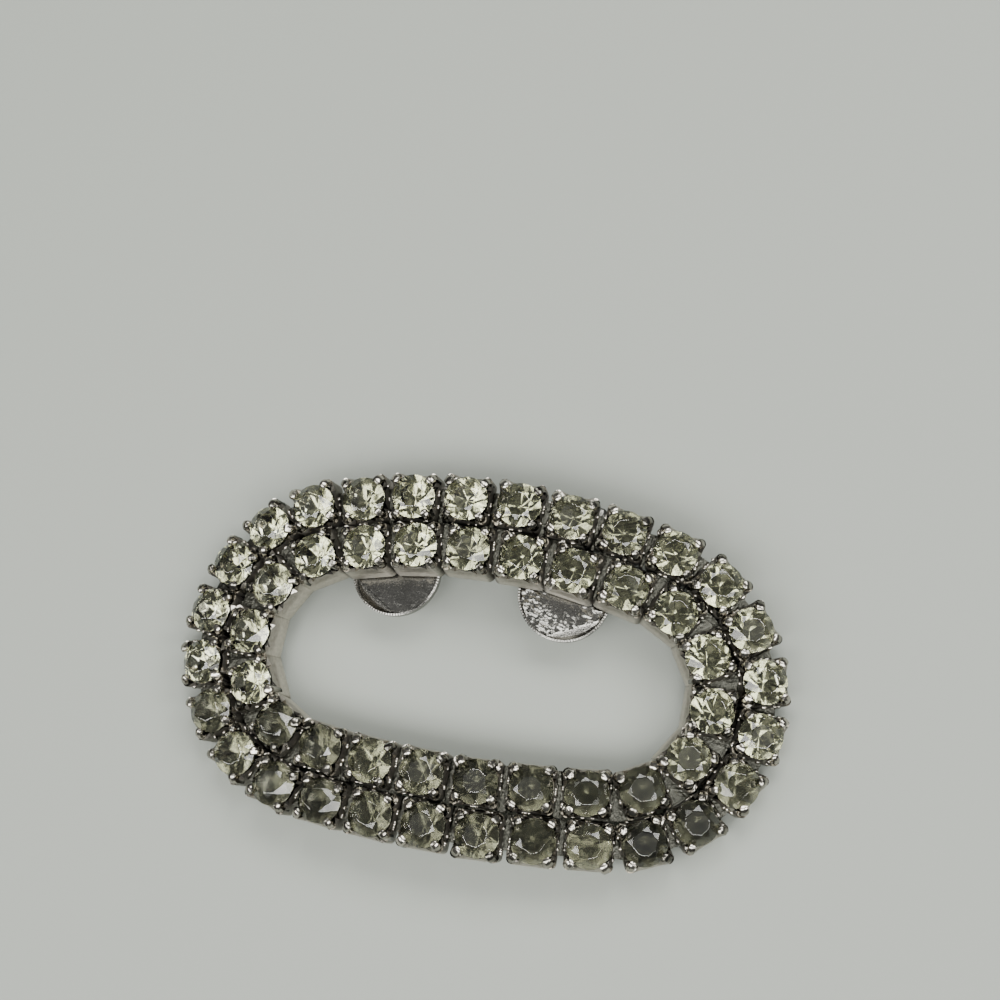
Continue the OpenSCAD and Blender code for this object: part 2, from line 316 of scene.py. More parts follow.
# black oxide in patches of 1 mm
oxide = add_node(
    solder_metal, "ShaderNodeTexNoise", {"Scale": 1 / 1.0, "Detail": 3.0}, {"Vector": mm_place},
)
colour = add_node(
    solder_metal, "ShaderNodeMix",
    {"data_type": "RGBA", 6: linear("#5e5e56"), 7: linear("#262622")},
    {0: oxide.outputs["Fac"]},
)
bumps = add_node(
    solder_metal, "ShaderNodeBump", {"Strength": 1.0, "Distance": 0.18 * MM},
    {"Height": ripples.outputs["Fac"]},
)
surface = add_node(
    solder_metal, "ShaderNodeBsdfPrincipled", {"Metallic": 1.0, "Roughness": 0.3},
    {"Base Color": colour.outputs[2], "Normal": bumps.outputs["Normal"]},
)
add_node(solder_metal, "ShaderNodeOutputMaterial", (), {"Surface": surface.outputs[0]})
print("material", solder_metal.name)

# %% [markdown]
# A rhinestone is cut lead crystal with silver foil on its back. Light goes in through
# the crown, is thrown about by the foiled facets and comes out as small patches. Painted
# spots would not change with the view, so the crown gets clear, polished glass.

# %% Cut lead crystal, polished
crystal, _ = new_material("cut_lead_crystal")
surface = add_node(
    crystal, "ShaderNodeBsdfPrincipled",
    {"Base Color": linear("#f3f2ea"), "Roughness": 0.03, "IOR": 1.55, "Transmission Weight": 1.0},
)
add_node(crystal, "ShaderNodeOutputMaterial", (), {"Surface": surface.outputs[0]})
print("material", crystal.name)

# %% [markdown]
# The foil is silver laid on the back facets. Old foil yellows, clouds and loses its
# shine, and then a stone looks grey and hazy. Each stone's own number says how good its
# foil still is, varied at random, and along the near side it is lowered as painted shade.
# Both the colour and the roughness follow it.

# %% Aged silver foil, laid on the back of a stone
foil, mm_place = new_material("aged_silver_foil")
# clouds of 0.9 mm, so one stone holds two or three shades
clouds = add_node(
    foil, "ShaderNodeTexNoise", {"Scale": 1 / 0.909, "Detail": 2.0}, {"Vector": mm_place},
)
tone = add_node(foil, "ShaderNodeAttribute", {"attribute_name": "tone"})
# the dark foil mixes in as old foil at random, and as painted shade on the near side
aged_and_shaded = add_node(
    foil, "ShaderNodeMix",
    {"data_type": "RGBA", 6: linear("#5b5b51"), 7: linear("#c5c6b4")},
    {0: tone.outputs["Fac"]},
)
cloudy = add_node(
    foil, "ShaderNodeMapRange",
    {"From Min": 0.35, "From Max": 0.6, "To Min": 0.75, "To Max": 1.0},
    {"Value": clouds.outputs["Fac"]},
)
colour = add_node(
    foil, "ShaderNodeMix",
    {"data_type": "RGBA", "blend_type": "MULTIPLY", 0: 1.0},
    {6: aged_and_shaded.outputs[2], 7: cloudy.outputs["Result"]},
)
dulled = add_node(
    foil, "ShaderNodeMapRange",
    {"From Min": 0.2, "From Max": 0.9, "To Min": 0.23, "To Max": 0.07},
    {"Value": tone.outputs["Fac"]},
)
surface = add_node(
    foil, "ShaderNodeBsdfPrincipled", {"Metallic": 1.0},
    {"Base Color": colour.outputs[2], "Roughness": dulled.outputs["Result"]},
)
add_node(foil, "ShaderNodeOutputMaterial", (), {"Surface": surface.outputs[0]})
print("material", foil.name)

# %% [markdown]
# The lever, its pads, the pin and the plate are steel with thin nickel plating: darker
# than the cups and a little warm. Tumbling in the plating drum left fine pits, which
# blur what the metal mirrors, and hands left stains.

# %% Nickel plated steel, tumbled
nickel_steel, mm_place = new_material("nickel_plated_steel")
# handling stains about 3 mm across
stains = add_node(
    nickel_steel, "ShaderNodeTexNoise", {"Scale": 1 / 2.857, "Detail": 5.0}, {"Vector": mm_place},
)
# tumbling pits of 0.15 mm
pits = add_node(
    nickel_steel, "ShaderNodeTexNoise", {"Scale": 1 / 0.1538, "Detail": 4.0}, {"Vector": mm_place},
)
colour = add_node(
    nickel_steel, "ShaderNodeMix",
    {"data_type": "RGBA", 6: linear("#545450"), 7: linear("#918f89")},
    {0: stains.outputs["Fac"]},
)
worn = add_node(
    nickel_steel, "ShaderNodeMapRange",
    {"From Min": 0.3, "From Max": 0.7, "To Min": 0.12, "To Max": 0.28},
    {"Value": pits.outputs["Fac"]},
)
bumps = add_node(
    nickel_steel, "ShaderNodeBump", {"Strength": 0.3, "Distance": 0.05 * MM},
    {"Height": pits.outputs["Fac"]},
)
surface = add_node(
    nickel_steel, "ShaderNodeBsdfPrincipled", {"Metallic": 1.0},
    {"Base Color": colour.outputs[2], "Roughness": worn.outputs["Result"],
     "Normal": bumps.outputs["Normal"]},
)
add_node(nickel_steel, "ShaderNodeOutputMaterial", (), {"Surface": surface.outputs[0]})
print("material", nickel_steel.name)

# %% [markdown]
# Spring wire is steel drawn through a die. It is not plated, and the die leaves fine
# marks that make it shine softly, so only its roughness varies.

# %% Drawn spring wire
spring_wire, mm_place = new_material("drawn_spring_wire")
# drawing marks of 0.05 mm
marks = add_node(
    spring_wire, "ShaderNodeTexNoise", {"Scale": 1 / 0.05, "Detail": 2.0}, {"Vector": mm_place},
)
worn = add_node(
    spring_wire, "ShaderNodeMapRange",
    {"From Min": 0.3, "From Max": 0.7, "To Min": 0.2, "To Max": 0.4},
    {"Value": marks.outputs["Fac"]},
)
surface = add_node(
    spring_wire, "ShaderNodeBsdfPrincipled", {"Metallic": 1.0, "Base Color": linear("#908d88")},
    {"Roughness": worn.outputs["Result"]},
)
add_node(spring_wire, "ShaderNodeOutputMaterial", (), {"Surface": surface.outputs[0]})
print("material", spring_wire.name)

# %% [markdown]
# Now the shapes. The operators of bmesh give back mixed lists of points, edges and
# faces, so short filters sort them. The other helpers name what a metalworker does
# most, rounding edges off and cutting along a plane, and end the shaping of a mesh. The
# first shape is one of the small beads of solder and flash that cling to the rims
# between the cups, where no file gets in, and glint. One sphere, stretched by another
# amount each time, is enough for all.

# %% Helpers for shaping, and one bead
def points_in(parts):
    return [part for part in parts if isinstance(part, bmesh.types.BMVert)]


def edges_in(parts):
    return [part for part in parts if isinstance(part, bmesh.types.BMEdge)]


def edges_at(points):
    """All edges that touch the points, each once."""
    return list(dict.fromkeys(edge for point in points for edge in point.link_edges))


def face_outwards(bm):
    bmesh.ops.recalc_face_normals(bm, faces=bm.faces[:])


def round_off(bm, edges, offset, segments):
    bmesh.ops.bevel(bm, geom=edges, offset=offset, segments=segments, profile=0.5,
                    affect="EDGES", material=-1)


def cut_plane(bm, at, way, **settings):
    """Cuts all faces along the plane through a point that faces a way."""
    geom = bm.verts[:] + bm.edges[:] + bm.faces[:]
    return bmesh.ops.bisect_plane(bm, geom=geom, dist=0.001, plane_co=at, plane_no=way, **settings)


def as_mesh(bm, name):
    """Ends the shaping of a bmesh and keeps it as a mesh."""
    mesh = bpy.data.meshes.new(name)
    bm.to_mesh(mesh)
    bm.free()
    print(name, len(mesh.vertices), "points", len(mesh.polygons), "faces")
    return mesh


bead_bm = bmesh.new()
bmesh.ops.create_uvsphere(bead_bm, u_segments=8, v_segments=5, radius=1)
bead_mesh = as_mesh(bead_bm, "bead")

# %% [markdown]
# One cup is a square box with a round bore for the stone, and its rim dips between the
# corners. To get the bore, the top is opened and bridged to a circle, which is the
# simplest way from a square to a round.

# %% A cup's rim and bore
CUP_W = 4.2
CORNER_R = 0.5
WALL_H = 2.45
FLAT_HALF = CUP_W / 2 - CORNER_R
BORE_R = 1.95
BORE_SIDES = 24
# the bore starts this far below the rim, and narrows to its seat
BORE_DROP = 0.25
SEAT_DEPTH = 1.5
SEAT_SHARE = 0.62
# in the middle of a side the rim is lower by this, and pulled in by this share
RIM_DIP = 0.9
RIM_PULL = 0.05
# from this height up, a wall is grimy
RIM_FROM = 1.3
TINY = 0.01


def rim_dip(along):
    """The share of the whole dip that the rim has, at a distance from the middle of a side."""
    return max(0, 1 - (abs(along) / FLAT_HALF) ** 3)


def open_bore(bm):
    """Takes the lid off a cup, bridges its rim to a round bore and closes the seat."""
    lid = max(bm.faces, key=lambda face: face.calc_center_median().z)
    rim_edges = lid.edges[:]
    bmesh.ops.delete(bm, geom=[lid], context="FACES_ONLY")
    at = moved(0, 0, WALL_H - BORE_DROP)
    bore = bmesh.ops.create_circle(bm, segments=BORE_SIDES, radius=BORE_R, matrix=at)
    bore_edges = edges_at(bore["verts"])
    bmesh.ops.bridge_loops(bm, edges=rim_edges + bore_edges)
    seat = bmesh.ops.extrude_edge_only(bm, edges=bore_edges)["geom"]
    seat_points = points_in(seat)
    bmesh.ops.translate(bm, vec=(0, 0, -SEAT_DEPTH), verts=seat_points)
    bmesh.ops.scale(bm, vec=(SEAT_SHARE, SEAT_SHARE, 1), verts=seat_points)
    seat_rim = [edge for edge in edges_in(seat) if all(v in seat_points for v in edge.verts)]
    bmesh.ops.contextual_create(bm, geom=seat_rim)


print("the rim is lowest at", round(WALL_H - RIM_DIP, 2), "mm")

# %% [markdown]
# The box is a scaled cube. Its upright corners and its foot are rounded off, its sides
# are divided so that the rim can dip, and its outer walls get the skin as cast. A
# flared cup's foot stands out, so that its pale wall shows from above.

# %% Flared and plain cups
FOOT_ROUND = 0.15
RIM_CUTS = 5


def make_cup(name, foot_share):
    """A cup whose foot is a share of its top's width."""
    bm = bmesh.new()
    bmesh.ops.create_cube(bm, size=1, matrix=moved(0, 0, WALL_H / 2) @ sized(CUP_W, CUP_W, WALL_H))
    upright = [e for e in bm.edges if abs(e.verts[0].co.z - e.verts[1].co.z) > TINY]
    round_off(bm, upright, CORNER_R, 4)
    foot = [v for v in bm.verts if v.co.z < TINY]
    bmesh.ops.scale(bm, vec=(foot_share, foot_share, 1), verts=foot)
    foot_edges = [e for e in bm.edges if all(v.co.z < TINY for v in e.verts)]
    round_off(bm, foot_edges, FOOT_ROUND, 3)
    brim = WALL_H - TINY
    sides = [e for e in bm.edges
             if e.calc_length() > FLAT_HALF and all(v.co.z > brim for v in e.verts)]
    bmesh.ops.subdivide_edges(bm, edges=sides, cuts=RIM_CUTS)
    for vert in bm.verts:
        if vert.co.z > brim:
            dip = rim_dip(min(abs(vert.co.x), abs(vert.co.y)))
            vert.co.z -= RIM_DIP * dip
            vert.co.xy *= 1 - RIM_PULL * dip
    open_bore(bm)
    cut_plane(bm, (0, 0, RIM_FROM), (0, 0, 1))
    face_outwards(bm)
    for face in bm.faces:
        if abs(face.normal.z) < 0.5 and face.calc_center_median().xy.length > BORE_R:
            face.material_index = 1
    return as_mesh(bm, name)


flared_cup = make_cup("flared cup", 1.1)
plain_cup = make_cup("plain cup", 0.97)

# %% [markdown]
# A prong stands in each corner of a cup and is bent over the stone. It starts as a
# circle that is drawn up into a shank. The spin operator bends it inwards, and the tip
# is drawn in to a rounded end. There are two hundred, so each has only eight sides.

# %% One prong, in line with +X
SHANK_AT = 2.4
SHANK_R = 0.3
SHANK_WIDER = 1.45
SHANK_FOOT = 1.4
SHANK_TOP = 2.6
SHANK_TAPER = 0.94
BEND_R = 0.52
BEND_TURN = math.radians(78)
# the two steps of the tip: how far on, and drawn in to what share
TIP_STEPS = ((0.12, 0.86), (0.11, 0.62))


def draw_out(bm, edges, move, shrink):
    """Extrudes a loop of edges, moves it on and draws it in towards its own middle."""
    made = bmesh.ops.extrude_edge_only(bm, edges=edges)["geom"]
    points = points_in(made)
    bmesh.ops.translate(bm, vec=move, verts=points)
    middle = sum((v.co for v in points), Vector()) / len(points)
    bmesh.ops.scale(bm, vec=[shrink] * 3, verts=points, space=Matrix.Translation(-middle))
    return [edge for edge in edges_in(made) if all(v in points for v in edge.verts)]


prong_bm = bmesh.new()
bmesh.ops.create_circle(
    prong_bm, segments=8, radius=SHANK_R, cap_ends=True,
    matrix=moved(SHANK_AT, 0, SHANK_FOOT) @ sized(1, SHANK_WIDER, 1),
)
loop = draw_out(prong_bm, prong_bm.edges[:], (0, 0, SHANK_TOP - SHANK_FOOT), SHANK_TAPER)
bent = bmesh.ops.spin(
    prong_bm, geom=loop, cent=(SHANK_AT - BEND_R, 0, SHANK_TOP), axis=(0, -1, 0),
    angle=BEND_TURN, steps=3,
)["geom_last"]
tip_way = Vector((-math.sin(BEND_TURN), 0, math.cos(BEND_TURN)))
loop = edges_in(bent)
for way_on, share in TIP_STEPS:
    loop = draw_out(prong_bm, loop, tip_way * way_on, share)
bmesh.ops.contextual_create(prong_bm, geom=loop)
face_outwards(prong_bm)
prong_mesh = as_mesh(prong_bm, "prong")

# %% [markdown]
# A stone is cut the way a cutter does it: a round blank is held against the wheel once
# for each facet, and a plane that cuts off what lies outside it is the wheel. Above, a
# table is ringed by eight stars, eight kites and sixteen halves. Their angles follow
# from the real proportions, so they meet in points. Below, eight plain facets get foil.

# %% One cut stone
STONE_R = 1.93
TABLE_R = 1.05
CROWN_H = 0.7
PAVILION_H = 1.77
GIRDLE_T = 0.12
TABLE_ROUND = 0.05
# half of the turn from one kite to the next
STEP = math.pi / 8


def cut_facets(bm, count, first, angle, distance, height, upper):
    """Grinds a ring of facets that lean by an angle, at a distance from the axis and a height."""
    sign = 1 if upper else -1
    for i in range(count):
        way = first + i * 2 * math.pi / count
        out = Vector((math.cos(way), math.sin(way), 0))
        normal = out * math.sin(angle) + Vector((0, 0, sign * math.cos(angle)))
        at = out * distance + Vector((0, 0, height))
        cut = cut_plane(bm, at, normal, clear_outer=True)["geom_cut"]
        edges = [edge for edge in edges_in(cut) if edge.is_boundary]
        if len(edges) > 2:
            bmesh.ops.contextual_create(bm, geom=edges)


def cut_stone(star_share):
    """A rhinestone whose stars reach a share of the way from the table to the girdle."""
    bm = bmesh.new()
    bmesh.ops.create_cone(bm, cap_ends=True, segments=32, radius1=STONE_R, radius2=STONE_R, depth=4)
    top = GIRDLE_T + CROWN_H
    kite = math.atan(CROWN_H / (STONE_R - TABLE_R))
    tip_r = TABLE_R + star_share * (STONE_R - TABLE_R)
    tip_drop = (tip_r * math.cos(STEP) - TABLE_R) * math.tan(kite)
    star = math.atan(tip_drop / (tip_r - TABLE_R * math.cos(STEP)))
    rim_r = STONE_R * math.cos(STEP / 2)
    half = math.atan((CROWN_H - tip_drop) / (rim_r - tip_r * math.cos(STEP / 2)))
    cut_facets(bm, 1, 0, 0, 0, top, True)
    cut_facets(bm, 8, 0, kite, TABLE_R, top, True)
    cut_facets(bm, 16, STEP / 2, half, rim_r, GIRDLE_T, True)
    cut_facets(bm, 8, STEP, star, TABLE_R * math.cos(STEP), top, True)
    cut_facets(bm, 8, 0, math.atan(PAVILION_H / STONE_R), STONE_R, 0, False)
    table = [e for e in bm.edges if all(v.co.z > top - 0.001 for v in e.verts)]
    round_off(bm, table, TABLE_ROUND, 2)
    face_outwards(bm)
    for face in bm.faces:
        face.material_index = 1 if face.normal.z < -0.2 else 0
    return as_mesh(bm, "stone")


# two cuts, so that neighbours can differ
stone_meshes = [cut_stone(0.5), cut_stone(0.35)]

# %% [markdown]
# There are fifty cups and two hundred prongs, so each shape is modelled once and then
# stamped into one large mesh. A stamp may write a number to its points for a material
# to read: how much painted shade and grime they carry, or how good the foil is, with
# painted shade on the near side.

# %% Stamping
def layered(name):
    """An empty mesh whose points each carry a number of that name."""
    bm = bmesh.new()
    bm.verts.layers.float.new(name)
    return bm


def stamp(bm, template, matrix, **values):
    """Adds a copy of a template at a matrix, and writes numbers to its points' layers."""
    first = len(bm.verts)
    bm.from_mesh(template)
    bm.verts.ensure_lookup_table()
    fresh = bm.verts[first:]
    for name, value in values.items():
        layer = bm.verts.layers.float[name]
        for vert, source in zip(fresh, template.vertices):
            vert[layer] = value(source.co) if callable(value) else value
    bmesh.ops.transform(bm, matrix=matrix, verts=fresh)


trial = layered("grime")
stamp(trial, bead_mesh, moved(0, 0, 1), grime=0.5)
print("a stamped bead has", len(trial.verts), "points")
trial.free()

# %% [markdown]
# Hand setting is never quite even, so each prong is pushed over a little more or less
# than the next. All such errors come from one seeded source, which keeps every run the
# same. The sides of a cup towards other cups and its rim get painted shade, and so does
# each prong's foot.

# %% Painted shade and grime, and four prongs
hand = random.Random(41)
# beyond this distance from its middle, a cup's wall faces a gap
CREVICE = 1.7
# how fast the painted shade comes in beside and above, the grime everywhere, and how much shade
SIDE_FADE = 0.3
RIM_FADE = 0.2
LEAST_GRIME = 0.1
GAP_SHADE = 0.5
# how much the turn, width, length, push and grime of prongs differ
PRONG_TURN = 0.05
PRONG_WIDE = (0.85, 1.12)
PRONG_LONG = (0.965, 1.0)
PRONG_PUSH = (-0.06, 0.05)
PRONG_GRIME = (0.3, 0.6)
# below this height a prong gets darker, with painted shade towards its foot
PRONG_UNSHADED_FROM = 2.8


def clamped(value):
    return min(1, max(0, value))


def painted_gap_shade(outer):
    """The painted shade and grime at each point of a cup, from 0 to 1: the shade lies on its sides towards
    other cups and on its rim.
    """
    def depth(co):
        towards = -co.y if outer else co.y
        beside = clamped((abs(co.x) - CREVICE) / SIDE_FADE)
        between = clamped((towards - CREVICE) / SIDE_FADE)
        upper = clamped((co.z - RIM_FROM) / RIM_FADE)
        if -towards > CREVICE:
            upper *= 0.5
        return min(1, LEAST_GRIME + GAP_SHADE * max(beside, between, upper))
    return depth


def set_prongs(prongs, base):
    for quarter in range(4):
        turn = math.radians(45 + 90 * quarter) + hand.gauss(0, PRONG_TURN)
        size = sized(1, hand.uniform(*PRONG_WIDE), hand.uniform(*PRONG_LONG))
        push = moved(hand.uniform(*PRONG_PUSH), 0, 0)
        dark = hand.uniform(*PRONG_GRIME)
        # each prong gets its own grime, and painted shade towards its foot
        stamp(prongs, prong_mesh, base @ turned(turn, "Z") @ push @ size,
              grime=lambda co, dark=dark: min(1, dark + max(0, PRONG_UNSHADED_FROM - co.z)))


print("grime at a rim towards a gap", painted_gap_shade(True)(Vector((CUP_W / 2, 0, WALL_H))))

# %% [markdown]
# Beads cling to the three sides of a cup that face other cups. Each stone sits at its
# own small angle, and that is why no two of them flash at once. The stones along the
# near side get darker foil as painted shade, which also makes it hazier.

# %% Beads, and a stone
BEADS_A_SIDE = 3
BEAD_ALONG = 1.3
BEAD_DROP = 0.2
BEAD_BITE = 0.08
BEAD_THICK = (0.14, 0.24)
BEAD_WIDE = (0.14, 0.34)
BEAD_HIGH = 0.16
BEAD_GRIME = 0.4
STONE_Z = 2.53
STONE_RISE = 0.04
STONE_ROCK = 0.035
TONE_SPREAD = 0.12
GOOD_TONE = 0.9
# near stones' foil is darkened this much by painted shade, from this line on and within so many mm
NEAR_SHADE = 0.6
NEAR_SHADE_FROM = -3.0
NEAR_SHADE_OVER = 4


def set_beads(beads, base, outer):
    for side in (0, 180, -90 if outer else 90):
        for _ in range(BEADS_A_SIDE):
            along = hand.uniform(-BEAD_ALONG, BEAD_ALONG)
            height = WALL_H - RIM_DIP * rim_dip(along) - hand.uniform(0, BEAD_DROP)
            at = moved(CUP_W / 2 - BEAD_BITE, along, height)
            size = sized(hand.uniform(*BEAD_THICK), hand.uniform(*BEAD_WIDE), BEAD_HIGH)
            stamp(beads, bead_mesh, base @ turned(math.radians(side), "Z") @ at @ size,
                  grime=hand.uniform(0, BEAD_GRIME))


def foil_with_near_shade(y):
    """How good the foil is at a place across the clip, darkened by painted shade on the near side."""
    return GOOD_TONE - NEAR_SHADE * clamped((NEAR_SHADE_FROM - y) / NEAR_SHADE_OVER)


def set_stone(stones, base, y):
    tone_value = clamped(foil_with_near_shade(y) + hand.gauss(0, TONE_SPREAD))
    sit = moved(0, 0, STONE_Z + hand.uniform(-STONE_RISE, STONE_RISE))
    rock = turned(hand.gauss(0, STONE_ROCK), "X") @ turned(hand.gauss(0, STONE_ROCK), "Y")
    facing = turned(hand.uniform(0, math.pi), "Z")
    stamp(stones, hand.choice(stone_meshes), base @ sit @ rock @ facing, tone=tone_value)


print("tone of the foil, far and near", foil_with_near_shade(10), round(foil_with_near_shade(-10), 2))

# %% [markdown]
# A finished piece is carried to the imported model and shaded smooth up to an angle. It
# rides on a body and stands for a CAD node, which then hides, and its materials are given
# with it.

# %% Finishing a piece
def in_scene(name, data):
    """Puts a mesh, a lamp or a camera into the scene."""
    thing = bpy.data.objects.new(name, data)
    bpy.context.scene.collection.objects.link(thing)
    return thing


def new_piece(name, bm, materials, node, slot, body, sharp=40):
    """Finishes a piece. Edges turned by more than sharp degrees stay sharp."""
    bmesh.ops.transform(bm, matrix=TO_ROW, verts=bm.verts[:])
    for face in bm.faces:
        face.smooth = sharp > 0
    for edge in bm.edges:
        edge.smooth = not edge.is_manifold or edge.calc_face_angle() < math.radians(sharp)
    mesh = as_mesh(bm, name)
    for material in materials:
        mesh.materials.append(material)
    piece = in_scene(name, mesh)
    if body:
        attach(piece, body)
    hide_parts(node)
    return piece


# %% [markdown]
# Now both rows are set. Each cup is turned and leaned a little too, by about one degree.
# Its prongs, beads and stone ride on the same matrix, so they stay true to the cup.
# Cups, prongs, beads and stones of a row are four pieces, since their edges are shaded
# in different ways: a stone's facets flat, a bead quite smooth.

# %% Set both rows
LEAN = 0.014
HEADING_ERROR = 1.3
# cups nearer than this have a plain foot, in mm from the middle
FLARE_FROM_Y = -5


def set_row(name, places, outer):
    """Makes the cups, prongs, beads and stones of one row."""
    cups, prongs, beads = (layered("grime") for _ in range(3))
    stones = layered("tone")
    for x, y, heading in places:
        lean = turned(hand.gauss(0, LEAN), "X") @ turned(hand.gauss(0, LEAN), "Y")
        base = on_ring((x, y, heading + hand.gauss(0, HEADING_ERROR))) @ lean
        cup = plain_cup if outer or y < FLARE_FROM_Y else flared_cup
        stamp(cups, cup, base, grime=painted_gap_shade(outer))
        set_prongs(prongs, base)
        set_beads(beads, base, outer)
        set_stone(stones, base, y)
    ring = ("setting_ring", "setting_metal", "clip_body")
    new_piece(name + "_cups", cups, [plated_brass, cast_skin], *ring)
    new_piece(name + "_prongs", prongs, [plated_brass], *ring, 30)
    new_piece(name + "_beads", beads, [plated_brass], *ring, 180)
    new_piece(name + "_cut_stones", stones, [crystal, foil], name + "_stones", name + "_stones",
              "clip_body", 0)


set_row("inner", inner_row, False)
set_row("outer", outer_row, True)

# %% [markdown]
# Solder has run between the cups and joins them. It fills the narrow gaps to over half
# their height with a lumpy top, and stays back from the outer edge, so that the notches
# between the end cups are open. One small block is drawn out from each wall to the wall
# that faces it, which fits however those two walls lean.

# %% Solder between the cups
# the solder's bite into a wall
SOLDER_BITE = 0.06
SOLDER_LOW = 0.12
SOLDER_TOP = 1.4
# half the width of the solder between the two rows
BETWEEN_HALF = 1.6
# what lies less than this below the top is crowned in the middle and made lumpy
LUMPY = 0.5
CROWN = 0.1
LUMP_H = 0.25
LUMPS_PER_MM = 1.1


def web(bm, near_wall, far_wall, left, right):
    """Draws solder from one wall to another. Each matrix carries the YZ plane to its wall."""
    block = moved(0, (left + right) / 2, (SOLDER_LOW + SOLDER_TOP) / 2)
    block = block @ turned(math.pi / 2, "Y") @ sized(SOLDER_TOP - SOLDER_LOW, right - left, 1)
    first = len(bm.verts)
    bmesh.ops.create_grid(bm, x_segments=3, y_segments=4, size=0.5, matrix=near_wall @ block)
    bm.verts.ensure_lookup_table()
    faces = list(dict.fromkeys(face for vert in bm.verts[first:] for face in vert.link_faces))
    points = points_in(bmesh.ops.extrude_face_region(bm, geom=faces)["geom"])
    bmesh.ops.transform(bm, matrix=far_wall @ near_wall.inverted(), verts=points)
    across = [e for v in points for e in v.link_edges if e.other_vert(v) not in points]
    middle = bmesh.ops.subdivide_edges(bm, edges=across, cuts=1)["geom_inner"]
    bm.verts.ensure_lookup_table()
    upper = near_wall.to_translation().z + SOLDER_TOP - LUMPY
    for vert in points_in(middle):
        if vert.co.z > upper:
            vert.co.z += CROWN
    for vert in bm.verts[first:]:
        if vert.co.z > upper + CROWN:
            vert.co.z += LUMP_H * noise.noise(vert.co * LUMPS_PER_MM)


solder = bmesh.new()
right_wall = moved(CUP_W / 2 - SOLDER_BITE, 0, 0)
left_wall = moved(SOLDER_BITE - CUP_W / 2, 0, 0)
# for each row: how far the solder reaches towards the middle and outwards
for places, inwards, outwards in ((inner_row, -1.75, 2.2), (outer_row, -2.2, 0.9)):
    frames = [on_ring(place) for place in places]
    for here, there in zip(frames, frames[1:] + frames[:1]):
        web(solder, here @ right_wall, there @ left_wall, inwards, outwards)
to_inner_row = moved(row_gap - CUP_W + 2 * SOLDER_BITE, 0, 0)
for place in outer_row:
    wall = on_ring(place) @ turned(-math.pi / 2, "Z") @ right_wall
    web(solder, wall, wall @ to_inner_row, -BETWEEN_HALF, BETWEEN_HALF)
face_outwards(solder)
new_piece("solder_webs", solder, [solder_metal], "setting_ring", "setting_metal", "clip_body", 60)

# %% [markdown]
# The pin turns in four flat ears: two on the plate, and two smaller ones on the lever,
# called lugs. An ear is a ring between two circles. The points of the outer circle on
# one side are drawn out straight to the sheet, and the ring is then made thick.

# %% Ears and lugs
PIN_R = 0.55
EAR_SIDES = 28
EAR_ROUND = 0.07


def sharp_edges(bm, angle=1):
    return [e for e in bm.edges if e.is_manifold and e.calc_face_angle() > angle]


def ear(bm, x, thick, radius, hole, reach):
    """A flat ear with a round hole for the pin, drawn out up or down by a reach."""
    place = moved(x, PIN_Y, PIN_Z) @ turned(math.pi / 2, "Y")
    edges = []
    for size in (radius, hole):
        made = bmesh.ops.create_circle(bm, segments=EAR_SIDES, radius=size, matrix=place)
        if size == radius:
            for vert in made["verts"]:
                if (vert.co.z - PIN_Z) * reach > TINY:
                    vert.co.z = PIN_Z + reach
        edges += edges_at(made["verts"])
    flat = bmesh.ops.bridge_loops(bm, edges=edges)["faces"]
    points = points_in(bmesh.ops.extrude_face_region(bm, geom=flat)["geom"])
    bmesh.ops.translate(bm, vec=(thick, 0, 0), verts=points)
    rims = [e for e in sharp_edges(bm)
            if all(x - TINY < v.co.x < x + thick + TINY for v in e.verts)]
    round_off(bm, rims, EAR_ROUND, 2)


print("the pin is", 2 * PIN_R, "mm thick")

# %% [markdown]
# The plate under the grip side is a strip of steel bent to the bow. It is a flat grid
# made thick with the solidify operator and rounded at its edges, and then each point is
# laid on the bow. Its ears hold the pin.

# %% The plate
PLATE_L = 19.6
PLATE_Y = (12.08, 15.72)
PLATE_T = 0.5
# how far the plate and its ears reach into what they are soldered to
PLATE_BITE = 0.2
PLATE_ROUND = 0.1
EAR_X = 9.2
EAR_T = 0.6
EAR_R = 1.2
EAR_GAP = 0.02

plate = bmesh.new()
sheet_size = sized(PLATE_L, PLATE_Y[1] - PLATE_Y[0], 1)
sheet_at = moved(GRIP_X, sum(PLATE_Y) / 2, -PLATE_T)
bmesh.ops.create_grid(plate, x_segments=24, y_segments=4, size=0.5, matrix=sheet_at @ sheet_size)
bmesh.ops.solidify(plate, geom=plate.faces[:], thickness=-(PLATE_T + PLATE_BITE))
face_outwards(plate)
round_off(plate, sharp_edges(plate), PLATE_ROUND, 2)
for vert in plate.verts:
    vert.co = on_ring((vert.co.x, vert.co.y, 0)) @ Vector((0, 0, vert.co.z))
near_end = (PLATE_L / 2 - abs(GRIP_X)) / BOW_R
ear_top = -PIN_Z - PLATE_T - BOW_R * (1 - math.cos(near_end)) + PLATE_BITE
for x in (EAR_X, -EAR_X - EAR_T):
    ear(plate, GRIP_X + x, EAR_T, EAR_R, PIN_R + EAR_GAP, ear_top)
face_outwards(plate)
new_piece("grip_plate", plate, [nickel_steel], "setting_ring", "setting_metal", "clip_body")

# %% [markdown]
# The lever is one piece of sheet steel: a fork of two arms that carry the pads, a neck
# that goes down past the pin, and a tab for the finger. A flat rectangle is cut along
# the bends and the fork, the waste is deleted, and each point is lowered to the run of
# the sheet. A press bends in a curve, so the bend lines are rounded off.

# %% The lever's bent sheet
LEVER_T = 0.6
ARM_IN = 4.2
NECK_HALF = 9.0
TAB_HALF = 9.7
BRIDGE_Y = 11.63
TAB_Y = 15.18
TAB_CORNER = 0.9
BEND_ROUND = 0.45
# the run of the sheet's middle: distance across the clip, and height
LEVER_RUN = ((7.73, -1.1), (11.08, -1.1), (12.18, -3.7), (14.48, -3.7), (16.62, -4.7))


